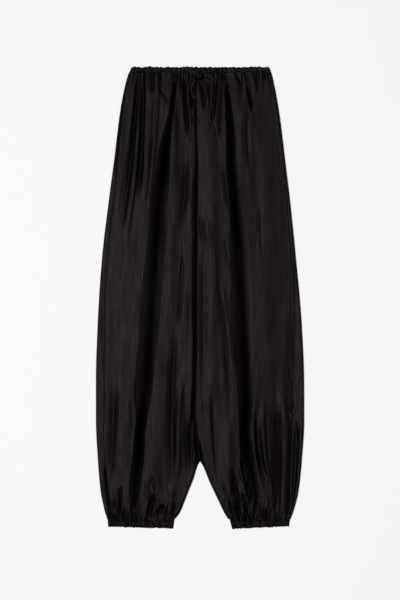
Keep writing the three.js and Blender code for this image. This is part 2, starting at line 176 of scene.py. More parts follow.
# Distances from the middle line to the legs' inner edges
INSEAM = table(["down", "left", "right"], [
    [CROTCH, 0, 0],
    [905, 5, 6],
    [939, 16, 20],
    [961, 25, 30],
    [984, 34, 41],
    [1007, 43, 52],
    [1018, 49, 58],
    [1027, 57, 64],
])

# Height of a leg's middle, and of the fold at its outer edge
LOFT = table(["down", "height", "edge"], [
    [0, 6.5, 5.6],
    [20, 6.5, 5.6],
    [60, 9.5, 7],
    [150, 11.5, 8],
    [400, 12.5, 8],
    [700, 13, 8],
    [880, 12.5, 8],
    [980, 10, 7],
    [1027, 6.5, 5.6],
])

# The deepest fold of each leg: x is its bottom, out and in its reach to the side and to the middle
DEEP_COLUMNS = ["down", "x", "out", "in", "depth"]
DEEP_FOLDS = {
    LEFT: table(DEEP_COLUMNS, [
        [20, -56, 7, 5, 5],
        [52, -58, 8, 6, 6],
        [93, -63, 7, 6, 5.5],
        [143, -71, 11, 9, 6.5],
        [189, -78, 16, 13, 7.8],
        [228, -82, 17, 15, 8.5],
        [280, -88, 18, 17, 9.2],
        [325, -92, 20, 19, 9.5],
        [370, -96, 21, 21, 9.5],
        [461, -103, 24, 22, 9.5],
        [552, -110, 27, 21, 9.5],
        [643, -117, 27, 20, 9.5],
        [734, -126, 22, 18, 9.5],
        [825, -135, 12, 13, 9.5],
        [878, -140, 13, 13, 9],
        [931, -145, 14, 13, 8.5],
        [997, -149, 14, 12, 7],
        [1027, -150, 11, 9, 4],
    ]),
    RIGHT: table(DEEP_COLUMNS, [
        [20, 56, 5, 4, 4],
        [51, 61, 6, 6, 6],
        [98, 66, 7, 9, 7.5],
        [139, 68, 10, 10, 8],
        [189, 70, 13, 12, 8.7],
        [240, 73, 14, 14, 9.2],
        [290, 77.5, 15, 17, 9.5],
        [370, 86, 16, 19, 9.5],
        [461, 92.5, 19, 25, 9.5],
        [552, 97, 20, 28, 9.5],
        [643, 102, 21, 26, 9.5],
        [734, 106.5, 16, 21, 9.5],
        [825, 103.5, 12, 15, 9.5],
        [870, 108, 12, 17, 9.3],
        [916, 116, 11, 22, 9],
        [957, 123, 12, 22, 8],
        [997, 129, 13, 18, 6],
        [1027, 133, 10, 12, 4],
    ]),
}

# The hollow along the centre seam: its reach to either side, and its depth
CENTRE_DIP = table(["down", "left", "right", "depth"], [
    [20, 4, 4, 2],
    [90, 5, 5, 3],
    [170, 3, 3, 1.6],
    [230, 5, 4, 2.4],
    [290, 12, 5, 4],
    [400, 10, 5, 3.6],
    [560, 8, 6, 3.6],
    [680, 6, 9, 3.6],
    [780, 7, 9, 4.5],
    [860, 16, 12, 6.5],
    [CROTCH, 20, 14, 7],
    [940, 10, 10, 0],
])

# A fold follows a curve through three places. It is a crease where its rise is below 0.
FOLD_COLUMNS = ["start", "end", "x_start", "x_middle", "x_end", "width", "end_width", "rise", "held"]
RISE = FOLD_COLUMNS.index("rise")
MAIN_FOLDS = {
    LEFT: [
        [20, 400, -141, -156, -184, 6, 20, -6, "top"],
        [20, 330, -130, -131, -146, 13, 14, -8, "top"],
        [20, 66, -109, -108, -110, 6, 5, -2.5, "top"],
        [20, 450, -97, -110, -134, 18, 18, 2.2, "top"],
        [48, 257, -120, -120, -125, 26, 26, -2.4, "none"],
        [20, 173, -37, -31, -27, 9, 7, -5, "top"],
        [20, 112, -21, -19, -14, 18, 10, -5, "top"],
        [189, 405, -34, -36, -49, 22, 16, -4, "none"],
        [234, 443, -139, -152, -166, 18, 18, -2, "none"],
        [393, 635, -40, -42, -52, 10, 10, -2.2, "none"],
        [560, 1000, -51, -63, -60, 15, 17, -4.2, "none"],
        [666, 945, -30, -50, -46, 16, 16, 1.8, "none"],
        [780, 935, -17, -20, -20, 18, 14, -6.5, "none"],
        [700, 984, -191, -198, -204, 20, 16, -3.2, "none"],
        [905, 1002, -89, -86, -82, 10, 10, -1.8, "none"],
        [968, 1027, -100, -110, -118, 10, 9, -5.5, "bottom"],
        [984, 1027, -74, -70, -68, 30, 30, 2.4, "bottom"],
        [890, 1027, -218, -211, -203, 7, 8, -3.6, "bottom"],
    ],
    RIGHT: [
        [20, 143, 38, 32, 26, 17, 10, -5, "top"],
        [20, 120, 22, 23, 25, 15, 9, -5, "top"],
        [20, 108, 6, 10, 14, 13, 8, -4, "top"],
        [20, 189, 50, 46, 43, 9, 8, -2.4, "top"],
        [20, 80, 93, 94, 95, 8, 8, -1.6, "top"],
        [36, 108, 109, 114, 121, 7, 7, -4.5, "none"],
        [93, 250, 111, 109, 116, 15, 15, -2, "none"],
        [20, 60, 132, 132, 134, 7, 7, -1.6, "top"],
        [216, 340, 52, 60, 68, 10, 10, -2.6, "none"],
        [320, 425, -5, 5, 16, 8, 8, -1.8, "none"],
        [382, 757, 8, 9, 12, 18, 18, -1.5, "none"],
        [457, 830, 41, 58, 73, 10, 10, -1.8, "none"],
        [475, 757, 47, 66, 79, 14, 14, 1.1, "none"],
        [723, 985, 27, 33, 45, 14, 12, -3, "none"],
        [745, 985, 125, 124, 150, 12, 12, 2.2, "none"],
        [784, 965, 130, 136, 160, 15, 14, -4, "none"],
        [745, 985, 146, 146, 168, 14, 14, 2, "none"],
        [757, 1027, 176, 179, 178, 24, 14, -8, "bottom"],
        [689, 1010, 178, 194, 190, 26, 22, 1.2, "none"],
        [784, 1027, 217, 217, 204, 15, 14, -6.5, "bottom"],
        [900, 1027, 75, 82, 93, 15, 11, -5, "bottom"],
        [882, 980, 86, 95, 108, 10, 10, 2, "none"],
        [995, 1027, 134, 136, 137, 9, 9, -3.5, "bottom"],
    ],
}

# Narrow creases and ridges, too fine for the solids
FINE_CREASES = {
    LEFT: [
        [41, 190, -101, -101, -112, 6, 6, -1.8, "none"],
        [48, 93, -91, -78, -67, 6, 5, -2, "none"],
        [60, 416, -139, -145, -173, 6, 6, 1.2, "none"],
        [300, 380, -182, -178, -176, 8, 7, -1.6, "none"],
        [927, 968, -111, -103, -95, 7, 7, -2.4, "none"],
        [928, 995, -121, -120, -117, 12, 12, 1.4, "none"],
        [991, 1027, -82, -90, -96, 8, 8, -5, "bottom"],
        [945, 1027, -178, -181, -184, 7, 7, -3.4, "bottom"],
        [973, 1027, -189, -194, -189, 6, 6, -2.4, "bottom"],
        [980, 1027, -142, -142, -143, 6, 6, -2.6, "bottom"],
        [698, 757, -36, -41, -45, 5, 5, 1, "none"],
        [96, 143, -20, -15, -12, 6, 6, -1.4, "none"],
        [393, 484, -45, -44, -50, 7, 7, 1.2, "none"],
        [461, 700, -30, -29, -38, 7, 7, 1.2, "none"],
        [507, 575, -136, -133, -131, 6, 6, -1, "none"],
        [740, 850, -155, -154, -150, 8, 8, -1, "none"],
    ],
    RIGHT: [
        [20, 46, 145, 142, 138, 6, 6, -1.8, "top"],
        [330, 430, 3, 12, 22, 8, 8, 0.9, "none"],
        [330, 460, 20, 27, 38, 8, 8, 0.9, "none"],
        [300, 800, 203, 213, 209, 5, 5, 0.9, "none"],
        [752, 789, 8, 8, 9, 5, 5, -1.4, "none"],
        [977, 1027, 64, 73, 82, 7, 7, -3, "bottom"],
        [939, 984, 50, 58, 66, 6, 6, -1.6, "none"],
        [966, 1027, 98, 103, 107, 7, 7, -3.4, "bottom"],
        [1000, 1027, 142, 145, 146, 6, 6, -3, "bottom"],
        [1002, 1027, 151, 153, 153, 6, 6, -2.6, "bottom"],
        [1000, 1027, 163, 162, 161, 6, 6, -2.4, "bottom"],
        [905, 966, 144, 154, 163, 7, 7, -2.2, "none"],
        [302, 439, 138, 139, 141, 6, 6, -0.8, "none"],
        [120, 190, 30, 38, 44, 7, 7, -1, "none"],
        [390, 470, 56, 64, 76, 8, 7, -1, "none"],
        [643, 662, 211, 216, 223, 6, 5, 1.1, "none"],
        [664, 684, 211, 216, 224, 6, 5, 1.2, "none"],
        [686, 704, 211, 217, 224, 6, 5, 1.0, "none"],
        [706, 728, 211, 216, 224, 6, 5, 1.3, "none"],
        [732, 750, 211, 217, 224, 6, 5, 1.0, "none"],
        [754, 778, 211, 216, 224, 6, 5, 1.2, "none"],
        [764, 796, 207, 212, 218, 9, 9, -1.8, "none"],
        [788, 812, 206, 216, 229, 7, 6, 2.4, "none"],
    ],
}

# Crumpled places: middle across and down, reach across and down, and height
CRUMPLES = {
    LEFT: [
        [-95, 992, 30, 50, 0.9],
        [-14, 870, 14, 64, 0.9],
        [-190, 1000, 26, 44, 0.6],
        [-150, 1010, 30, 30, 0.6],
    ],
    RIGHT: [
        [92, 975, 34, 64, 0.9],
        [150, 1008, 46, 32, 0.7],
        [216, 720, 9, 100, 0.5],
        [60, 1005, 22, 36, 0.6],
    ],
}

# Wide soft waves of the satin between its folds
SOFT_WAVES = {
    LEFT: [
        [60, 330, -176, -181, -194, 22, 22, 1.2, "none"],
        [200, 520, -150, -160, -170, 34, 40, 1.8, "none"],
        [480, 1000, -206, -210, -206, 26, 22, 1.2, "none"],
        [560, 1000, -172, -182, -186, 34, 30, 1.5, "none"],
        [640, 980, -150, -168, -176, 30, 26, 1.2, "none"],
        [60, 330, -62, -62, -66, 26, 34, 2, "none"],
        [90, 420, -20, -20, -22, 22, 22, 1.2, "none"],
        [330, 640, -70, -66, -84, 30, 40, 2, "none"],
        [440, 760, -22, -20, -30, 22, 22, 1.4, "none"],
        [620, 1000, -104, -100, -120, 60, 46, 2.4, "none"],
        [700, 1000, -50, -46, -72, 20, 22, 1.6, "none"],
        [940, 1027, -62, -66, -68, 24, 22, 2, "bottom"],
    ],
    RIGHT: [
        [380, 800, -4, -5, -7, 26, 24, 1.7, "none"],
        [110, 430, 18, 24, 34, 40, 44, 1.9, "none"],
        [60, 260, 92, 98, 104, 36, 40, 1.6, "none"],
        [90, 420, 138, 148, 160, 44, 40, 1.0, "none"],
        [300, 640, 28, 30, 30, 28, 34, 1.4, "none"],
        [380, 800, 136, 148, 158, 50, 44, 0.9, "none"],
        [520, 860, 24, 26, 34, 34, 36, 1.5, "none"],
        [520, 900, 190, 194, 186, 40, 34, 1.4, "none"],
        [780, 1000, 62, 62, 72, 40, 34, 1.8, "none"],
        [700, 1000, 20, 28, 52, 20, 20, 1.6, "none"],
        [830, 1027, 190, 190, 184, 34, 26, 2, "bottom"],
    ],
}

# Layers of crush lines: height, share of the sway, slant, size across and down, and seed
CRUSH_LAYERS = [
    [0.8, 1, 0.06, 30, 110, 4],
    [0.26, 1, 0, 11, 70, 1],
    [0.05, 1, 0, 4.2, 60, 2],
    [0.09, 0, 0.2, 8, 24, 3],
]
CRUSH_SWAY = 6

# Lines that the panels' columns follow, beside the deep folds
LINE_COLUMNS = ["down", "pleat", "crest", "inner"]
COLUMN_LINES = {
    LEFT: table(LINE_COLUMNS, [
        [20, -142, -97, -34],
        [143, -150, -100, -28],
        [302, -172, -119, -36],
        [530, -188, -150, -46],
        [757, -194, -162, -58],
        [939, -204, -178, -62],
        [1027, -206, -181, -84],
    ]),
    RIGHT: table(LINE_COLUMNS, [
        [20, 140, 98, 34],
        [143, 142, 112, 30],
        [302, 150, 112, 36],
        [530, 175, 136, 46],
        [757, 186, 146, 62],
        [939, 180, 158, 72],
        [1027, 176, 148, 94],
    ]),
}
GATHERS_BETWEEN = [3, 4, 3, 3, 3, 4, 4]

# Low ridges of the back, where it lifts from the table
BACK_RIDGES = {
    LEFT: [
        [20, 190, -120, -126, -133, 16, 18, 1.6, "top"],
        [20, 330, -70, -78, -92, 20, 24, 2, "top"],
        [20, 150, -38, -36, -33, 12, 14, 1.5, "top"],
        [180, 620, -150, -158, -171, 26, 22, 1.6, "none"],
        [330, 840, -82, -95, -110, 24, 24, 2, "none"],
        [540, 980, -46, -58, -70, 20, 18, 1.8, "none"],
        [760, 1027, -140, -150, -152, 20, 14, 2, "bottom"],
        [900, 1027, -100, -104, -106, 14, 12, 1.8, "bottom"],
        [930, 1027, -188, -190, -186, 13, 11, 1.6, "bottom"],
    ],
    RIGHT: [
        [20, 240, 118, 125, 134, 18, 20, 1.7, "top"],
        [20, 300, 64, 72, 83, 20, 22, 2, "top"],
        [20, 120, 36, 34, 30, 12, 12, 1.5, "top"],
        [240, 700, 146, 158, 166, 24, 24, 1.6, "none"],
        [380, 900, 86, 97, 112, 24, 22, 2, "none"],
        [600, 970, 44, 52, 66, 18, 18, 1.8, "none"],
        [800, 1027, 150, 154, 150, 20, 14, 2, "bottom"],
        [910, 1027, 100, 104, 108, 14, 12, 1.8, "bottom"],
        [940, 1027, 184, 186, 182, 13, 11, 1.6, "bottom"],
    ],
}

# Routes of the drawstring's stretches, as places across and down
TIE_ROUTES = {
    "tie_lead_left": [(-29, 11), (-22, 11), (-13, 12), (-4, 13)],
    "tie_lead_right": [(23, 11), (16, 11), (8, 12), (0, 13)],
    "tie_loop_right": [
        (8.5, 18.5), (15, 18), (23, 20.5), (31, 26.5), (34, 32), (30, 36), (22, 33.5), (15, 29.5), (8.5, 26),
    ],
    "tie_loop_left": [
        (-3, 31), (-4.5, 38), (-5.5, 52), (-7, 65), (-12, 71), (-17, 65), (-19, 52), (-18, 42), (-13, 33),
        (-9.5, 30),
    ],
    "tie_tail_left": [
        (-13, 24), (-19, 30), (-24.5, 42), (-27, 58), (-27, 80), (-25, 100), (-22.5, 120), (-21.8, 134),
        (-23, 150), (-23, 172),
    ],
    "tie_tail_right": [
        (3.5, 29), (5.5, 38), (11, 52), (16, 68), (18.5, 85), (22, 100), (22.7, 118), (22.5, 137),
    ],
}
# How far the knot's strands reach to each side of its middle
KNOT_REACH = 6.72
# Strands over the knot's middle: lean, distance aside, thickness, and how far below the top
KNOT_STRANDS = [
    (1.2, -5.4, 2.3, 1.7),
    (1.4, -3.0, 2.4, 0.6),
    (1.2, -0.5, 2.5, 0.0),
    (1.35, 2.0, 2.4, 0.3),
    (1.1, 4.6, 2.3, 1.5),
]
BUTTONHOLES = {"left": (-31, 11.2), "right": (24.5, 11.2)}
BUTTONHOLE_SIZE = (3.4, 9.0)
BUTTONHOLE_THREADS = 30

# Each cuff's ends across at its top and its hem, and the hem's ends down
CUFFS = {
    LEFT: dict(
        top_outer=-210, top_inner=-58, hem_outer=-208.5, hem_inner=-61,
        outer_down=1045, inner_down=1049,
    ),
    RIGHT: dict(
        top_outer=204.5, top_inner=67, hem_outer=202, hem_inner=73,
        outer_down=1044, inner_down=1050,
    ),
}

# Sewing: distance from stitch to stitch, the share of it that the thread covers, and where its runs lie
STITCH_PITCH = 2.6
STITCH_SHARE = 0.72
STITCH_INSET = 4
CASING_STITCHES_DOWN = 10.6
CUFF_STITCHES_SHARE = 0.09

# Height of a stitch above the cloth, at shares of its length
STITCH_ARCH = np.array([[0, -0.12], [0.2, 0.1], [0.5, 0.16], [0.8, 0.1], [1, -0.12]])

# How finely the satin is divided
PANEL_ROWS = 190
BACK_ROWS = 220
PANEL_COLUMNS_PER_GATHER = 10
ROW_CROWDING = 0.09
SEAM_CROWDING = 1.6
UNDERSIDE_STEPS = 64
ROUND_STEPS = 10
STRIP_STEPS = 18
ROUTE_STEPS = 6

# Places before and after each place of a tie over which it bridges the cloth's hollows
TIE_STIFFNESS = 4

# How far the strips beside the side seams fall towards the left
STRIP_FALL = 1.6

# Depth of the line that a seam presses into the satin, and its reach either way
SEAM_DIP = 0.55
SEAM_REACH = 2.4

# Fabric colour, and the studio
FABRIC_TINT = (1.0, 0.81, 0.775)
CLOTH_SHADE = 0.0002
THREAD_SHADE = 0.0003
CLOTH_LUSTRE = 0.084
FLOOR_SHADE = 0.83
WORLD_SHADE = 0.035

# The slub weave: scale across and along the threads, detail, and height in metres
GRAINS = [
    [300, 24, 3.0, 0.00013],
    [900, 160, 2.0, 0.00007],
    [120, 520, 3.0, 0.00010],
]

# How strongly the weave stands out, and how rough it is at its smoothest and roughest
WEAVE = {"Relief": 1.0, "Least Roughness": 0.44, "Greatest Roughness": 0.56}

# Lamps: place across, along and up, size across and along, in metres, and power in watts
LAMPS = [
    [-2.0, 0.0, 9.0, 1.8, 5.1, 850],
    [2.4, 0.0, 9.0, 1.8, 5.1, 135],
]

# Camera, in metres
PHOTO_SCALE = 1050 / 462 * MM
PHOTO_HEIGHT = 600
CAMERA_HEIGHT = 5.0
CAMERA_Y = -2 * PHOTO_SCALE
SENSOR = 36.0


def ease(value):
    """A smooth step from 0 to 1."""
    t = np.clip(value, 0, 1)
    return t * t * (3 - 2 * t)


def mix(a, b, t):
    """The value a share t of the way from a to b."""
    return a + (b - a) * t


def rounded(distance, reach):
    """A quarter round: 0 at the edge, 1 from the reach on."""
    return np.sqrt(1 - (1 - np.clip(distance / reach, 0, 1)) ** 2)


def at(rows, column, down):
    """A table's column at distances down, on a smooth curve that never overshoots its rows."""
    x, y = rows["down"], rows[column]
    slope = np.diff(y) / np.diff(x)
    before, after = slope[:-1], slope[1:]
    same = before * after > 0
    middle = np.where(same, 2 * before * after / np.where(same, before + after, 1), 0)
    tangent = np.concatenate([slope[:1], middle, slope[-1:]])
    down = np.clip(np.asarray(down, float), x[0], x[-1])
    i = np.clip(np.searchsorted(x, down, side="right") - 1, 0, len(x) - 2)
    span = x[i + 1] - x[i]
    t = (down - x[i]) / span
    s = 1 - t
    return (s ** 3 * y[i] + 3 * s * s * t * (y[i] + tangent[i] * span / 3)
            + 3 * s * t * t * (y[i + 1] - tangent[i + 1] * span / 3) + t ** 3 * y[i + 1])


def lattice_noise(u, v, seed):
    """Smooth noise from -1 to 1 over a lattice with one knot at each whole number."""
    u, v = np.broadcast_arrays(u, v)
    rng = np.random.default_rng(seed)
    u0, v0 = np.floor(u).astype(int), np.floor(v).astype(int)
    u0, v0 = u0 - u0.min(), v0 - v0.min()
    knots = rng.uniform(-1, 1, (u0.max() + 2, v0.max() + 2))
    fu, fv = ease(u - np.floor(u)), ease(v - np.floor(v))
    near = mix(knots[u0, v0], knots[u0 + 1, v0], fu)
    far = mix(knots[u0, v0 + 1], knots[u0 + 1, v0 + 1], fu)
    return mix(near, far, fv)


def outer_edge(side, down):
    return side * at(OUTLINE, SIDE_NAMES[side], down)


def side_seam(side, down):
    return outer_edge(side, down) - side * at(SIDE_SEAM, SIDE_NAMES[side], down)


def centre_seam(down):
    return at(CENTRE_SEAM, "x", down)


def inner_edge(side, down, centre):
    """Where a panel ends towards the middle: the centre seam, or the leg's inner edge."""
    leg = side * at(INSEAM, SIDE_NAMES[side], down)
    return np.where(down < CROTCH, centre, leg) + side * SEAM_GAP / 2


def ridge(offset, reach):
    """A rounded ridge across its width: 1 on its line, 0 at its reach."""
    return (1 + np.cos(math.pi * np.minimum(1, np.abs(offset) / reach))) / 2


def crease(offset, reach, shoulder=SHOULDER_SHARE):
    """A trough with a sloping shoulder that steepens towards its line: 1 on the line, 0 at its reach."""
    near = 1 - np.minimum(1, np.abs(offset) / reach)
    return mix(near ** CREASE_POWER, near, shoulder)


def fold_height(fold, x, down, room=np.inf):
    """A ridge, or a crease that goes down no further than its room."""
    start, end, x_start, x_middle, x_end, width, end_width, rise, held = fold
    t = np.clip((down - start) / (end - start), 0, 1)
    line = x_start * (2 * t * t - 3 * t + 1) + x_middle * 4 * t * (1 - t) + x_end * (2 * t * t - t)
    starts = 1 if held == "top" else ease(t / BEGIN_SHARE)
    ends = 1 if held == "bottom" else ease((1 - t) / END_SHARE)
    within = (down >= start - 1) & (down <= end + 1)
    reach = mix(width, end_width, t)
    if rise > 0:
        profile = ridge(x - line, RIDGE_SHARE * reach)
    else:
        profile = crease(x - line, np.where(x > line, STEEP_SHARE, 1) * reach)
    return np.where(within, np.maximum(rise * starts * ends, -room) * profile, 0)


def deep_fold(side, down):
    """Line, reach outward, reach inward and depth of the deepest fold, with its edges uneven."""
    line, out, inward, depth = (at(DEEP_FOLDS[side], column, down) for column in DEEP_COLUMNS[1:])
    settled = ease((down - CASING_DEPTH) / 60) * ease((CUFF_TOP - down) / 60)
    line = line + DEEP_WANDER * settled * lattice_noise(down / 52, down * 0, 60 + side)
    out = out * (1 + DEEP_UNEVEN * settled * lattice_noise(down / 57, down * 0, 64 + side))
    inward = inward * (1 + DEEP_UNEVEN * settled * lattice_noise(down / 49, down * 0, 68 + side))
    return line, out, inward, depth


def edge_height(down):
    return at(LOFT, "edge", down)


def front_height(side, x, down):
    """Height of the front's outer face above the table."""
    edge = edge_height(down)
    inside = side * (outer_edge(side, down) - x) - edge / 2
    strip = at(SIDE_SEAM, SIDE_NAMES[side], down)
    seam_height = edge - side * STRIP_FALL * ease(strip / 20)
    rise = np.clip((inside - strip) / SIDE_RISE, 0, 1)
    rise = 1 - (1 - rise) ** RISE_POWER
    body = mix(mix(edge, seam_height, ease(inside / strip)), at(LOFT, "height", down), rise)
    lowest = 2 * LEG_WALL + LAYER_GAP
    room = ROOM_SHARE * (body - lowest)
    line, out, inward, depth = deep_fold(side, down)
    outward = side * (x - line)
    shoulder = np.where(x < line, SHADED_SHOULDER_SHARE, LIT_SHOULDER_SHARE)
    deep = np.minimum(depth, room) * crease(outward, np.where(outward > 0, out, inward), shoulder)
    dip_reach = at(CENTRE_DIP, SIDE_NAMES[side], down)
    dip = at(CENTRE_DIP, "depth", down) * crease(x - centre_seam(down), dip_reach)
    hollows = [deep, dip]
    crest = np.zeros_like(x)
    for fold in MAIN_FOLDS[side] + FINE_CREASES[side]:
        height = fold_height(fold, x, down, room)
        if fold[RISE] < 0:
            hollows.append(-height)
        else:
            crest = np.maximum(crest, height)
    crest = crest + sum(fold_height(wave, x, down) for wave in SOFT_WAVES[side])
    hollow = sum(each ** MERGE_POWER for each in hollows) ** (1 / MERGE_POWER)
    opened = body + ease(inside / FOLD_FREE) * (crest - hollow)
    legged = ease((down - CROTCH + CROTCH_BLEND) / CROTCH_BLEND)
    inseam = inner_edge(side, np.maximum(down, CROTCH), 0)
    rolled = lowest + (opened - lowest) * rounded(side * (x - inseam), INNER_ROLL)
    return np.maximum(lowest, mix(opened, rolled, legged))


def crush(x, down, seed):
    """Soft lengthwise crush lines of thin satin."""
    sway = CRUSH_SWAY * lattice_noise(x / 60, down / 160, seed)
    total = 0
    for height, swayed, slant, across, along, own in CRUSH_LAYERS:
        place = x + swayed * sway + slant * down
        total = total + height * lattice_noise(place / across, down / along, seed + own)
    return total


def crumples(side, x, down):
    """Small sharp crumples in the places of the table."""
    total = 0
    for middle, middle_down, reach, reach_down, size in CRUMPLES[side]:
        near = np.maximum(0, 1 - ((x - middle) / reach) ** 2 - ((down - middle_down) / reach_down) ** 2)
        grain = lattice_noise((x + 0.15 * side * down) / 4.5, down / 26, 80 + side)
        grain = grain + 0.6 * lattice_noise((x - 0.3 * side * down) / 3.6, down / 15, 84 + side)
        total = total + size * np.sqrt(near) * grain
    return total


def seam_dip(distance):
    return -SEAM_DIP * crease(distance, SEAM_REACH)


def satin_relief(side, x, down):
    """A panel's crush lines, its crumples and the dips along its seams."""
    inside = side * (outer_edge(side, down) - x) - edge_height(down) / 2
    relief = ease(inside / FOLD_FREE) * (crush(x, down, 50 + side) + crumples(side, x, down))
    relief = relief + seam_dip(x - side_seam(side, down)) + 0.15 * seam_dip(down - CASING_DEPTH)
    return relief + 0.6 * seam_dip(CUFF_TOP - down)


def panel_downs(rows):
    """Distances down of a panel's rows, crowded at its gathered ends."""
    t = np.linspace(0, 1, rows + 1)
    return mix(CASING_DEPTH + SEAM_GAP, CUFF_TOP - SEAM_GAP, t - ROW_CROWDING * np.sin(2 * math.pi * t))


def column_places(side, down):
    """The front panel's columns across, and where each one stands in the run of gathers."""
    line, out, inward = deep_fold(side, down)[:3]
    lines = [
        side_seam(side, down) - side * SEAM_GAP / 2,
        at(COLUMN_LINES[side], "pleat", down),
        at(COLUMN_LINES[side], "crest", down),
        line + side * out,
        line,
        line - side * inward,
        at(COLUMN_LINES[side], "inner", down),
        inner_edge(side, down, centre_seam(down)),
    ]
    places, gathers, first = [lines[0]], [0.0], 0
    for k, count in enumerate(GATHERS_BETWEEN):
        t = np.linspace(0, 1, count * PANEL_COLUMNS_PER_GATHER + 1)[1:]
        if k == 0:
            t = t ** SEAM_CROWDING
        if k == len(GATHERS_BETWEEN) - 1:
            t = 1 - (1 - t) ** SEAM_CROWDING
        places.extend(mix(lines[k], lines[k + 1], step) for step in t)
        gathers.extend(first + count * t)
        first += count
    return np.array(places).T, np.array(gathers)


def gather_wave(down, gathers, seed):
    """Gathers that fade away from the casing and the cuff, each a little different."""
    last = sum(GATHERS_BETWEEN)
    edge = np.clip(np.minimum(gathers, last - gathers) / 2, 0, 1)
    rng = np.random.default_rng(seed)
    knots = np.arange(last + 1)
    reach = np.interp(gathers, knots, rng.uniform(*GATHER_REACHES, last + 1))
    size = np.interp(gathers, knots, rng.uniform(*GATHER_SIZES, last + 1))
    fade = np.maximum(1 - ease((down - CASING_DEPTH) / reach), 1 - ease((CUFF_TOP - down) / reach))
    drift = lattice_noise(gathers / 1.7, down / 40, seed + 1)
    main = -size * np.cos(math.pi * (gathers + 0.35 * drift))
    close = np.maximum(0.35 - 0.35 * ease((down - CASING_DEPTH) / 12), 1 - ease((CUFF_TOP - down) / 34))
    fine = np.cos(math.pi * 2.3 * (gathers + 0.6 * drift)) + lattice_noise(gathers * 2.2, down / 9, seed + 2)
    fine = 0.7 * close * fine
    return edge * (fade * main + fine)


def wall_mesh(name, outer, inner, creases=()):
    """A closed wall between a grid of outer points and a grid of inner points, in millimetres."""
    rows, columns = outer.shape[:2]
    points = np.concatenate([outer.reshape(-1, 3), inner.reshape(-1, 3)]) * MM
    ids = np.arange(rows * columns).reshape(rows, columns)
    under = ids + rows * columns

    def strip(a, b, c, d):
        return np.stack([a, b, c, d], -1).reshape(-1, 4)

    faces = np.concatenate([
        strip(ids[:-1, :-1], ids[1:, :-1], ids[1:, 1:], ids[:-1, 1:]),
        strip(under[:-1, :-1], under[:-1, 1:], under[1:, 1:], under[1:, :-1]),
        strip(ids[:-1, 0], under[:-1, 0], under[1:, 0], ids[1:, 0]),
        strip(ids[1:, -1], under[1:, -1], under[:-1, -1], ids[:-1, -1]),
        strip(ids[0, 1:], under[0, 1:], under[0, :-1], ids[0, :-1]),
        strip(ids[-1, :-1], under[-1, :-1], under[-1, 1:], ids[-1, 1:]),
    ])
    if signed_volume(points, faces) < 0:
        faces = faces[:, ::-1]
    mesh = bpy.data.meshes.new(name)
    mesh.from_pydata(points.tolist(), [], faces.tolist())
    mesh.shade_smooth()
    sharpen(mesh, rows, columns, creases)
    return add_object(name, mesh)


def signed_volume(points, faces):
    """Above 0 where the faces look outwards."""
    a, b, c, d = (points[faces[:, k]] for k in range(4))
    return np.sum(a * np.cross(b, c)) + np.sum(a * np.cross(c, d))


def sharpen(mesh, rows, columns, creases):
    """Keeps the wall's rim and its pressed creases crisp."""
    ends = np.empty(len(mesh.edges) * 2, dtype=np.int32)
    mesh.edges.foreach_get("vertices", ends)
    ends = ends.reshape(-1, 2)
    row, column = (ends // columns) % rows, ends % columns
    same_face = ends[:, 0] // (rows * columns) == ends[:, 1] // (rows * columns)
    sharp = np.zeros(len(ends), dtype=bool)
    for rim, value in ((row, 0), (row, rows - 1), (column, 0), (column, columns - 1)):
        sharp |= same_face & (rim[:, 0] == value) & (rim[:, 1] == value)
    for pressed in creases:
        sharp |= same_face & (column[:, 0] == pressed) & (column[:, 1] == pressed)
    marks = mesh.attributes.new("sharp_edge", "BOOLEAN", "EDGE")
    marks.data.foreach_set("value", sharp)


def add_object(name, mesh):
    """Puts a mesh into the scene."""
    mesh.update()
    piece = bpy.data.objects.new(name, mesh)
    bpy.context.scene.collection.objects.link(piece)
    return piece


def stack(x, down, z):
    """Points of the frame from places across, down and up."""
    x, down, z = np.broadcast_arrays(x, down, z)
    return np.stack([x, OUTSEAM / 2 - down, z], -1)


def under_surface(x, z, wall):
    """Heights straight under a sloping surface, so that the wall keeps its thickness."""
    slope = np.gradient(z, axis=1) / np.gradient(x, axis=1)
    return z - wall * np.minimum(STEEPEST_WALL, np.hypot(1, slope))


def dress(piece, slot, material, *nodes):
    """Gives a piece its body and material, and hides the solids that it stands for; its slot is not used."""
    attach(piece, "root")
    if nodes:
        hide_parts(*nodes)
    piece.data.materials.append(material)
    return piece


def front_surface(side):
    """Places across, down and up of the front panel's face."""
    downs = panel_downs(PANEL_ROWS)
    x, gathers = column_places(side, downs)
    down = np.broadcast_to(downs[:, None], x.shape)
    z = front_height(side, x, down) + satin_relief(side, x, down)
    z = z + gather_wave(down, np.broadcast_to(gathers, x.shape), 40 + side)
    return x, down, np.maximum(z, LEG_WALL + LAYER_GAP + STEEPEST_WALL * SATIN)


def front_panel(side, surface, material):
    x, down, z = surface
    deep_column = sum(GATHERS_BETWEEN[:4]) * PANEL_COLUMNS_PER_GATHER
    name = f"front_{SIDE_NAMES[side]}"
    outer, inner = stack(x, down, z), stack(x, down, under_surface(x, z, SATIN))
    piece = wall_mesh(f"{name}_satin", outer, inner, creases=[deep_column])
    return dress(piece, "satin", material, name)


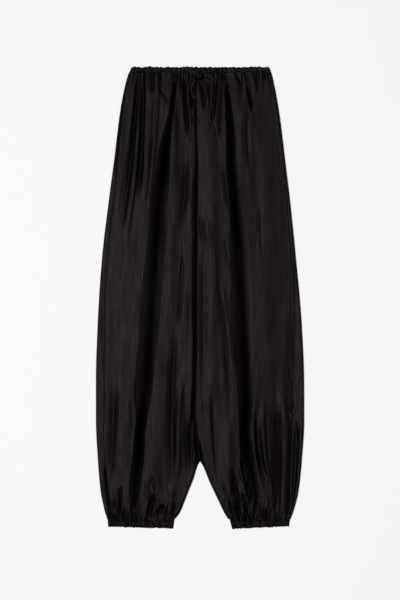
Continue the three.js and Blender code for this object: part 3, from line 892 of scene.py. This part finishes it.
def back_panel(side, material):
    """The back lies on the table, turns up round the outer fold and ends at the side seam."""
    down = panel_downs(BACK_ROWS)[:, None]
    radius = edge_height(down) / 2
    turn = outer_edge(side, down) - side * radius
    middle = inner_edge(side, down, 0)
    t = np.linspace(0, 1, UNDERSIDE_STEPS + 1)[:-1]
    x = mix(middle, turn, t)
    flat = np.broadcast_to(down, x.shape)
    room = ease((front_height(side, x, flat) - 2 * LEG_WALL - LAYER_GAP) / 6)
    pressed = sum(fold_height(fold, x, flat) for fold in BACK_RIDGES[side])
    pressed = pressed + 0.35 * (1 + lattice_noise(x / 13, flat / 120, 90 + side))
    lift = room * pressed * ease((np.abs(x - middle)) / 12) * ease(np.abs(turn - x) / 20)
    outer, inner = [stack(x, flat, lift)], [stack(x, flat, lift + SATIN)]
    angle = np.linspace(-math.pi / 2, math.pi / 2, ROUND_STEPS + 1)
    outwards = np.cos(angle) ** ROLL_SQUARENESS
    upwards = np.sign(angle) * np.abs(np.sin(angle)) ** ROLL_SQUARENESS
    for grid, r in ((outer, radius), (inner, radius - SATIN)):
        grid.append(stack(turn + side * r * outwards, down, radius + r * upwards))
    seam = side_seam(side, down) + side * SEAM_GAP / 2
    t = 1 - (1 - np.linspace(0, 1, STRIP_STEPS + 1)[1:]) ** SEAM_CROWDING
    x = mix(turn, seam, t)
    flat = np.broadcast_to(down, x.shape)
    z = front_height(side, x, flat) + satin_relief(side, x, flat)
    outer.append(stack(x, flat, z))
    inner.append(stack(x, flat, z - SATIN))
    name = f"back_{SIDE_NAMES[side]}"
    piece = wall_mesh(f"{name}_satin", np.concatenate(outer, 1), np.concatenate(inner, 1))
    return dress(piece, "satin", material, name)


def ring_grid(ring, columns_per_gather, rows, seed):
    """Places across and down a gathered band, its rows, and each column's gather and its size."""
    gathers = np.linspace(0, ring["gathers"], ring["gathers"] * columns_per_gather + 1)[None, :]
    rng = np.random.default_rng(seed)
    knots = np.arange(ring["gathers"] + 1)
    shift = rng.uniform(-BAND_GATHER_SHIFT, BAND_GATHER_SHIFT, ring["gathers"] + 1)
    shift[[0, -1]] = 0
    size = np.interp(gathers, knots, rng.uniform(*BAND_GATHER_SIZES, ring["gathers"] + 1))
    place = (gathers + np.interp(gathers, knots, shift)) / ring["gathers"]
    t = np.linspace(0, 1, rows + 1)[:, None]
    start, end = mix(ring["start"][0], ring["start"][1], t), mix(ring["end"][0], ring["end"][1], t)
    x, down = mix(start[:, :1], end[:, :1], place), mix(start[:, 1:], end[:, 1:], place)
    return x, down, t, gathers, size


def rim_of(surfaces, row):
    """Places across and heights along one end of the panels, from left to right."""
    x = np.concatenate([surface[0][row] for surface in surfaces])
    z = np.concatenate([surface[2][row] for surface in surfaces])
    order = np.argsort(x)
    return x[order], z[order]


def gathered_front(name, ring, rim, seed, material):
    """Front of a band. Next to its seam it takes up the gathers of the panel's rim."""
    x, down, t, gathers, size = ring_grid(ring, ring["columns"], ring["rows"], seed)
    wall, height = ring["cloth"], ring["height"]
    lean = 0.22 * lattice_noise(gathers / 1.3, 4 * t, seed + 1)
    phase = ((gathers + lean) % 1) ** 1.4
    wave = (2 * np.sin(math.pi * phase) ** 0.7 - 1) * size
    fine = 0.6 * lattice_noise(gathers * 2.6, 5 * t, seed + 2)
    puff = 1 + 0.25 * np.sin(math.pi * t)
    from_edge = np.abs(t - ring["free_edge"]) * ring["depth"]
    from_seam = np.abs(t - 1 + ring["free_edge"]) * ring["depth"]
    z = height + ring["wave"] * puff * (wave + fine) - 0.5 + 0.8 * np.sin(math.pi * t)
    followed = 1 - ease((from_seam - ring["line"] + 2) / 2.5)
    pinched = 0.8 * crease(from_seam - ring["line"] + 4 * lean, SEAM_REACH)
    z = mix(z, np.interp(x, *rim) - 0.3, followed) - pinched
    lowest = 2 * wall + LAYER_GAP
    ends = rounded(np.minimum(x - x[:, :1], x[:, -1:] - x), RING_END_ROLL)
    z = mix(lowest, z, ends * mix(0.3, 1, rounded(from_edge, TOP_FOLD)))
    uneven = (1 - wave) / 2 + 0.7 * lattice_noise(gathers / 0.8, t * 0, seed + 5)
    frill = ring["frill"] * uneven * (1 - ease(from_edge / FRILL_REACH))
    down = down + frill * (1 if ring["free_edge"] == 0 else -1)
    z = np.maximum(z, wall + LAYER_GAP + STEEPEST_WALL * wall)
    piece = wall_mesh(f"{name}_satin", stack(x, down, z), stack(x, down, under_surface(x, z, wall)))
    return dress(piece, "gathered_satin", material, name)


def gathered_back(name, ring, seed, material):
    """Back of a band, with low gathers on the table."""
    x, down, t, gathers, size = ring_grid(ring, BAND_BACK_COLUMNS, BAND_BACK_ROWS, seed)
    wall = ring["cloth"]
    wave = (1 - np.cos(2 * math.pi * gathers)) / 2 * size
    from_edge = np.abs(t - ring["free_edge"]) * ring["depth"]
    z = 0.75 * wave * np.sin(math.pi * np.clip(t, 0.12, 0.88))
    z = z + 0.8 * (1 - rounded(from_edge, TOP_FOLD))
    ends = np.minimum(np.abs(x - x[:, :1]), np.abs(x[:, -1:] - x))
    z = z * ease(ends / 6)
    frill = ring["frill"] * wave * (1 - ease(from_edge / FRILL_REACH))
    down = down + frill * (1 if ring["free_edge"] == 0 else -1)
    piece = wall_mesh(f"{name}_satin", stack(x, down, z), stack(x, down, z + wall))
    return dress(piece, "gathered_satin", material, name)


def waist_ring():
    """Ends, depth and gathers of the waist casing."""
    ends = {}
    for side in (LEFT, RIGHT):
        ends[side] = np.array([(float(outer_edge(side, down)), down) for down in (0.0, CASING_DEPTH)])
    return {"start": ends[LEFT], "end": ends[RIGHT], "depth": CASING_DEPTH, **BANDS["casing"]}


def cuff_ring(side):
    """Ends, depth and gathers of a cuff, from left to right."""
    c = CUFFS[side]
    outer = np.array([(c["top_outer"], CUFF_TOP), (c["hem_outer"], c["outer_down"])])
    inner = np.array([(c["top_inner"], CUFF_TOP), (c["hem_inner"], c["inner_down"])])
    start, end = (outer, inner) if side == LEFT else (inner, outer)
    return {"start": start, "end": end, "depth": c["inner_down"] - CUFF_TOP, **BANDS["cuff"]}


def height_finder(pieces):
    """A function that gives the uppermost height of the pieces at a place, in millimetres."""
    trees = []
    for piece in pieces:
        points = [vertex.co.copy() for vertex in piece.data.vertices]
        polygons = [tuple(polygon.vertices) for polygon in piece.data.polygons]
        trees.append(BVHTree.FromPolygons(points, polygons))

    def height(x, down):
        start = Vector((x * MM, (OUTSEAM / 2 - down) * MM, 0.1))
        hits = [tree.ray_cast(start, Vector((0, 0, -1)))[0] for tree in trees]
        return max([hit.z / MM for hit in hits if hit is not None], default=0.0)

    return height


def smooth_route(route, steps):
    """Places on a Catmull-Rom curve through the route's places."""
    points = np.array(route, float)
    padded = np.vstack([2 * points[0] - points[1], points, 2 * points[-1] - points[-2]])
    t = np.linspace(0, 1, steps, endpoint=False)[:, None]
    pieces = []
    for a, b, c, d in zip(padded[:-3], padded[1:-2], padded[2:-1], padded[3:]):
        pieces.append(0.5 * (2 * b + (c - a) * t + (2 * a - 5 * b + 4 * c - d) * t ** 2
                             + (3 * b - a - 3 * c + d) * t ** 3))
    return np.vstack(pieces + [points[-1:]])


def flat_tube(path, width, thickness, sides=14, taper=0.0):
    """Points and faces of a closed flat tube, broad side up, along a path in millimetres."""
    forward = np.gradient(path, axis=0)
    sideways = np.stack([-forward[:, 1], forward[:, 0], np.zeros(len(path))], -1)
    sideways /= np.linalg.norm(sideways, axis=1)[:, None]
    up = np.cross(forward / np.linalg.norm(forward, axis=1)[:, None], sideways)
    angle = np.linspace(0, 2 * math.pi, sides, endpoint=False)
    flattened = np.sign(np.sin(angle)) * np.abs(np.sin(angle)) ** 0.8
    size = np.ones((len(path), 1, 1))
    if taper:
        size[[0, -1]] = taper
    across = sideways[:, None] * np.cos(angle)[None, :, None] * (width / 2) * size
    upward = up[:, None] * flattened[None, :, None] * (thickness / 2) * size
    points = (path[:, None] + across + upward).reshape(-1, 3)
    faces = []
    for i in range(len(path) - 1):
        for j in range(sides):
            k = (j + 1) % sides
            faces.append((i * sides + j, i * sides + k, (i + 1) * sides + k, (i + 1) * sides + j))
    faces.append(tuple(range(sides))[::-1])
    faces.append(tuple((len(path) - 1) * sides + j for j in range(sides)))
    return points, faces


def mesh_object(name, shapes):
    """One piece of several closed shapes, each given as points in millimetres and faces."""
    points, faces, count = [], [], 0
    for shape_points, shape_faces in shapes:
        points.extend((np.asarray(shape_points) * MM).tolist())
        faces.extend(tuple(index + count for index in face) for face in shape_faces)
        count += len(shape_points)
    mesh = bpy.data.meshes.new(name)
    mesh.from_pydata(points, [], faces)
    mesh.shade_smooth()
    return add_object(name, mesh)


def tie_path(route, cloth_height):
    """The route laid on the cloth: each place rests on the highest cloth under the tie's width."""
    places = smooth_route(route, ROUTE_STEPS)
    reach = TIE_WIDTH / 2
    spots = [(u * reach, v * reach) for u in (-1, -0.5, 0, 0.5, 1) for v in (-1, 0, 1)]
    under = np.array([max(cloth_height(x + u, down + v) for u, v in spots) for x, down in places])
    span = 2 * TIE_STIFFNESS + 1
    padded = np.pad(under, TIE_STIFFNESS, mode="edge")
    over = np.array([padded[i:i + span].max() for i in range(len(under))])
    padded = np.pad(over, TIE_STIFFNESS, mode="edge")
    smooth = np.array([padded[i:i + span].mean() for i in range(len(under))])
    z = np.maximum(smooth, under) + SEAM_GAP + TIE_THICKNESS / 2
    return np.stack([places[:, 0], OUTSEAM / 2 - places[:, 1], z], -1)


def drawstring(cloth_height, material):
    """Lays every stretch of the drawstring and gives their paths."""
    paths = {name: tie_path(route, cloth_height) for name, route in TIE_ROUTES.items()}
    for name, path in paths.items():
        piece = mesh_object(f"{name}_satin", [flat_tube(path, TIE_WIDTH, TIE_THICKNESS)])
        dress(piece, "tie", material, name)
        if "lead" in name:
            continue
        length = float(np.linalg.norm(np.diff(path, axis=0), axis=1).sum()) * MM
        "object" if "loop" in name else "bare"
        [tuple(point * MM) for point in path]
    return paths


def knot(paths, material):
    """All ends go in under the strands that lie over the knot's middle."""
    low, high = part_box("tie_knot")
    centre = np.array([(low.x + high.x) / 2, (low.y + high.y) / 2, (low.z + high.z) / 2]) / MM
    top = high.z / MM
    shapes = []
    for name, path in paths.items():
        ends = [path[-1]] if "lead" in name else [path[0]]
        if "loop" in name:
            ends = [path[0], path[-1]]
        for end in ends:
            inside = mix(end, centre, 0.75)
            shoulder = mix(end, centre, 0.35)
            shoulder[2] = mix(end[2], top - 1.6, 0.75)
            inside[2] = top - 2.4
            curve = smooth_route([end, shoulder, inside], ROUTE_STEPS)
            shapes.append(flat_tube(curve, TIE_WIDTH * 1.04, TIE_THICKNESS * 1.25, taper=0.85))
    angle = np.linspace(-0.15 * math.pi, 1.15 * math.pi, 19)
    for lean, aside, thickness, lower in KNOT_STRANDS:
        reach = KNOT_REACH * np.cos(angle)
        across = reach * math.cos(lean) - aside * math.sin(lean)
        along = reach * math.sin(lean) + aside * math.cos(lean)
        up = (top - centre[2] - thickness / 2 - lower) * np.sin(angle)
        band = centre + np.stack([across, along, up], -1)
        shapes.append(flat_tube(band, thickness, thickness, taper=0.8))
    piece = mesh_object("tie_knot_satin", shapes)
    return dress(piece, "tie", material, "tie_knot")


def casing_run():
    """Places of the casing's row of stitches."""
    down = CASING_STITCHES_DOWN
    left, right = (float(outer_edge(side, down)) - side * STITCH_INSET for side in (LEFT, RIGHT))
    return [(left, down), (0, down), (right, down)]


def cuff_run(side):
    """Places of a cuff's row of stitches."""
    c, t = CUFFS[side], CUFF_STITCHES_SHARE
    outer = (mix(c["top_outer"], c["hem_outer"], t) - side * STITCH_INSET, mix(CUFF_TOP, c["outer_down"], t))
    inner = (mix(c["top_inner"], c["hem_inner"], t) + side * STITCH_INSET, mix(CUFF_TOP, c["inner_down"], t))
    return [outer, inner]


def stitches(name, runs, height, material):
    """Short raised threads along each run of places, laid on the cloth."""
    shapes = []
    for route in runs:
        places = smooth_route(route, 30)
        length = np.concatenate([[0], np.cumsum(np.linalg.norm(np.diff(places, axis=0), axis=1))])
        for start in np.arange(0.5, length[-1] - STITCH_PITCH, STITCH_PITCH):
            s = start + STITCH_PITCH * STITCH_SHARE * STITCH_ARCH[:, 0]
            x, down = (np.interp(s, length, places[:, k]) for k in range(2))
            z = np.array([height(a, b) for a, b in zip(x, down)])
            path = np.stack([x, OUTSEAM / 2 - down, z + STITCH_ARCH[:, 1]], -1)
            shapes.append(flat_tube(path, 0.5, 0.36, sides=6, taper=0.4))
    return dress(mesh_object(name, shapes), "gathered_satin", material)


def buttonhole(name, place, height, material):
    """A slot with thread wrapped all round its edge."""
    width, length = BUTTONHOLE_SIZE
    shapes = []
    for angle in np.linspace(0, 2 * math.pi, BUTTONHOLE_THREADS, endpoint=False):
        direction = np.array([math.cos(angle), math.sin(angle)])
        edge = direction * [width / 2, length / 2]
        ends = [np.array(place) + edge * s for s in (0.62, 0.85, 1.1)]
        z = [height(*end) + lift for end, lift in zip(ends, (-0.1, 0.35, -0.05))]
        path = np.array([[end[0], OUTSEAM / 2 - end[1], up] for end, up in zip(ends, z)])
        shapes.append(flat_tube(path, 0.75, 0.5, sides=6, taper=0.6))
    return dress(mesh_object(name, shapes), "gathered_satin", material)


def streak_group():
    """Lengthwise lustre of satin: a bumped normal and a roughness that varies along the threads."""
    group = bpy.data.node_groups.new("satin_streaks", "ShaderNodeTree")
    for name in WEAVE:
        group.interface.new_socket(name, in_out="INPUT", socket_type="NodeSocketFloat")
    group.interface.new_socket("Normal", in_out="OUTPUT", socket_type="NodeSocketVector")
    group.interface.new_socket("Roughness", in_out="OUTPUT", socket_type="NodeSocketFloat")
    nodes, links = group.nodes, group.links
    given = nodes.new("NodeGroupInput").outputs
    place = nodes.new("ShaderNodeTexCoord").outputs["Object"]
    heights = []
    normal = None
    for across, along, detail, relief in GRAINS:
        mapping = nodes.new("ShaderNodeMapping")
        mapping.inputs["Scale"].default_value = (across, along, across)
        links.new(place, mapping.inputs["Vector"])
        noise = nodes.new("ShaderNodeTexNoise")
        noise.inputs["Scale"].default_value = 1
        noise.inputs["Detail"].default_value = detail
        links.new(mapping.outputs["Vector"], noise.inputs["Vector"])
        heights.append(noise.outputs["Fac"])
        bump = nodes.new("ShaderNodeBump")
        bump.inputs["Distance"].default_value = relief
        links.new(given["Relief"], bump.inputs["Strength"])
        links.new(heights[-1], bump.inputs["Height"])
        if normal:
            links.new(normal, bump.inputs["Normal"])
        normal = bump.outputs["Normal"]
    shine = nodes.new("ShaderNodeMapRange")
    shine.inputs["From Min"].default_value = 0.3
    shine.inputs["From Max"].default_value = 0.7
    links.new(given["Least Roughness"], shine.inputs["To Min"])
    links.new(given["Greatest Roughness"], shine.inputs["To Max"])
    links.new(heights[0], shine.inputs["Value"])
    output = nodes.new("NodeGroupOutput")
    links.new(normal, output.inputs["Normal"])
    links.new(shine.outputs["Result"], output.inputs["Roughness"])
    return group


def cloth_material(name, shade, lustre, streaks=None, roughness=0.5):
    """Near-black satin, whose lustre is its reflection of the overhead lamp."""
    material = bpy.data.materials.new(name)
    material.use_nodes = True
    nodes, links = material.node_tree.nodes, material.node_tree.links
    bsdf = nodes["Principled BSDF"]
    bsdf.inputs["Base Color"].default_value = (*(shade * part for part in FABRIC_TINT), 1)
    bsdf.inputs["Specular Tint"].default_value = (*FABRIC_TINT, 1)
    bsdf.inputs["Specular IOR Level"].default_value = lustre
    if streaks:
        group = nodes.new("ShaderNodeGroup")
        group.node_tree = streaks
        for socket, value in WEAVE.items():
            group.inputs[socket].default_value = value
        links.new(group.outputs["Normal"], bsdf.inputs["Normal"])
        links.new(group.outputs["Roughness"], bsdf.inputs["Roughness"])
    else:
        bsdf.inputs["Roughness"].default_value = roughness
    return material


def make_camera():
    data = bpy.data.cameras.new("photo_camera")
    data.sensor_width = SENSOR
    data.lens = SENSOR * CAMERA_HEIGHT / (PHOTO_HEIGHT * PHOTO_SCALE)
    camera = bpy.data.objects.new("photo_camera", data)
    camera.location = (0, CAMERA_Y, CAMERA_HEIGHT)
    bpy.context.scene.collection.objects.link(camera)
    bpy.context.scene.camera = camera


def make_lamps():
    for x, y, z, width, length, power in LAMPS:
        data = bpy.data.lights.new("softbox", "AREA")
        data.shape = "RECTANGLE"
        data.size = width
        data.size_y = length
        data.energy = power
        lamp = bpy.data.objects.new("softbox", data)
        lamp.location = (x, y, z)
        lamp.rotation_euler = (0, math.atan2(x, z), 0)
        bpy.context.scene.collection.objects.link(lamp)
    world = bpy.data.worlds.new("studio")
    bpy.context.scene.world = world
    world.use_nodes = True
    world.node_tree.nodes["Background"].inputs["Color"].default_value = (WORLD_SHADE,) * 3 + (1,)


def make_floor():
    half = 6.0
    corners = [(-half, -half, 0), (half, -half, 0), (half, half, 0), (-half, half, 0)]
    mesh = bpy.data.meshes.new("floor")
    mesh.from_pydata(corners, [], [(0, 1, 2, 3)])
    floor = add_object("floor", mesh)
    material = bpy.data.materials.new("pale_floor")
    material.use_nodes = True
    bsdf = material.node_tree.nodes["Principled BSDF"]
    bsdf.inputs["Base Color"].default_value = (FLOOR_SHADE,) * 3 + (1,)
    bsdf.inputs["Roughness"].default_value = 0.9
    bsdf.inputs["Specular IOR Level"].default_value = 0
    mesh.materials.append(material)


make_camera()
make_lamps()
make_floor()
bpy.context.scene.view_settings.view_transform = "Standard"

streaks = streak_group()
satin = cloth_material("satin", CLOTH_SHADE, CLOTH_LUSTRE, streaks)
gathered_satin = cloth_material("gathered_satin", CLOTH_SHADE, CLOTH_LUSTRE, streaks)
tie_satin = cloth_material("tie_satin", CLOTH_SHADE, CLOTH_LUSTRE, streaks)
thread = cloth_material("thread", THREAD_SHADE, CLOTH_LUSTRE)

surfaces = {side: front_surface(side) for side in (LEFT, RIGHT)}
fronts = [front_panel(side, surfaces[side], satin) for side in (LEFT, RIGHT)]
backs = [back_panel(side, satin) for side in (LEFT, RIGHT)]

waist = waist_ring()
waist_rim = rim_of(surfaces.values(), 0)
casing = gathered_front("waist_casing_front", waist, waist_rim, 7, gathered_satin)
casing_back = gathered_back("waist_casing_back", waist, 8, gathered_satin)
cuff_fronts = []
for side in (LEFT, RIGHT):
    ring = cuff_ring(side)
    name = f"cuff_{SIDE_NAMES[side]}"
    rim = rim_of([surfaces[side]], -1)
    front = gathered_front(f"{name}_front", ring, rim, 20 + side, gathered_satin)
    back = gathered_back(f"{name}_back", ring, 30 + side, gathered_satin)
    cuff_fronts.append(front)

height = height_finder([*fronts, casing, *cuff_fronts])
paths = drawstring(height, tie_satin)
knot(paths, tie_satin)
stitches("casing_stitches", [casing_run()], height, thread)
stitches("cuff_stitches", [cuff_run(side) for side in (LEFT, RIGHT)], height, thread)
for side_name, place in BUTTONHOLES.items():
    buttonhole(f"buttonhole_{side_name}", place, height, thread)
